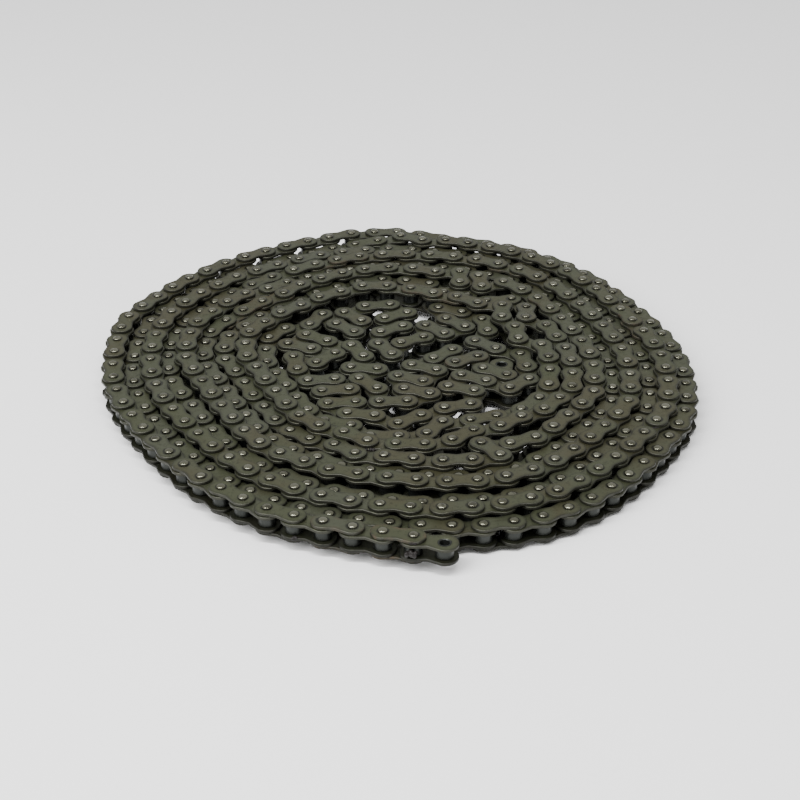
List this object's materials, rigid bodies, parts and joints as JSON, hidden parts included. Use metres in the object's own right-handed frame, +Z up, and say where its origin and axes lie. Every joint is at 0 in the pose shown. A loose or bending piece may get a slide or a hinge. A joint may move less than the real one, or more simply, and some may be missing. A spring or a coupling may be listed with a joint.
{
  "type": "heap of roller chain",
  "caption": "Length of narrow half-inch steel roller chain, wound up into a flat round heap that lies on its side plates, with a free end that hinges outwards.",
  "frame": {"origin": "on the floor under the middle of the heap's bounding box", "axes": "+Z up along the chain's pins, -Y towards the free end at the front, +X to the right"},
  "size_m": [0.2834, 0.3172, 0.016],
  "materials": {
    "plate_steel": "dark rolled side plates with an oily olive-grey film and rubbed bright rims",
    "roller_steel": "dark oiled rollers and bushes with a bright running band",
    "pin_steel": "bright riveted pin ends in oil"
  },
  "bodies": {
    "heap": {"eighth_turn_pins_and_rollers": "roller_steel", "eighth_turn_upper_plates": "plate_steel", "fifth_turn_pins_and_rollers": "roller_steel", "fifth_turn_upper_plates": "plate_steel", "first_turn_pins_and_rollers": "roller_steel", "first_turn_upper_plates": "plate_steel", "folded_middle_pins_and_rollers": "roller_steel", "folded_middle_upper_plates": "plate_steel", "fourth_turn_pins_and_rollers": "roller_steel", "fourth_turn_upper_plates": "plate_steel", "ninth_turn_pins_and_rollers": "roller_steel", "ninth_turn_upper_plates": "plate_steel", "second_turn_pins_and_rollers": "roller_steel", "second_turn_upper_plates": "plate_steel", "seventh_turn_pins_and_rollers": "roller_steel", "seventh_turn_upper_plates": "plate_steel", "sixth_turn_pins_and_rollers": "roller_steel", "sixth_turn_upper_plates": "plate_steel", "tenth_turn_pins_and_rollers": "roller_steel", "tenth_turn_upper_plates": "plate_steel", "third_link_bush": "roller_steel", "third_link_roller": "roller_steel", "third_turn_pins_and_rollers": "roller_steel", "third_turn_upper_plates": "plate_steel"},
    "second_link": {"second_link_pin": "pin_steel", "second_link_plate_lower": "plate_steel", "second_link_plate_upper": "plate_steel", "end_link_pin": "pin_steel"},
    "end_link": {"end_link_hinge_bush": "roller_steel", "end_link_hinge_roller": "roller_steel", "end_link_plate_lower": "plate_steel", "end_link_plate_upper": "plate_steel", "end_link_tip_bush": "roller_steel", "end_link_tip_roller": "roller_steel"}
  },
  "joints": [
    {"name": "second_link_hinge", "type": "hinge", "parent": "heap", "child": "second_link", "pos_m": [-0.00517, -0.14668, 0.00955], "axis": [0, 0, -1], "range_deg": [0, 70]},
    {"name": "end_link_hinge", "type": "hinge", "parent": "second_link", "child": "end_link", "pos_m": [0.00718, -0.14966, 0.00955], "axis": [0, 0, -1], "range_deg": [0, 90]}
  ]
}
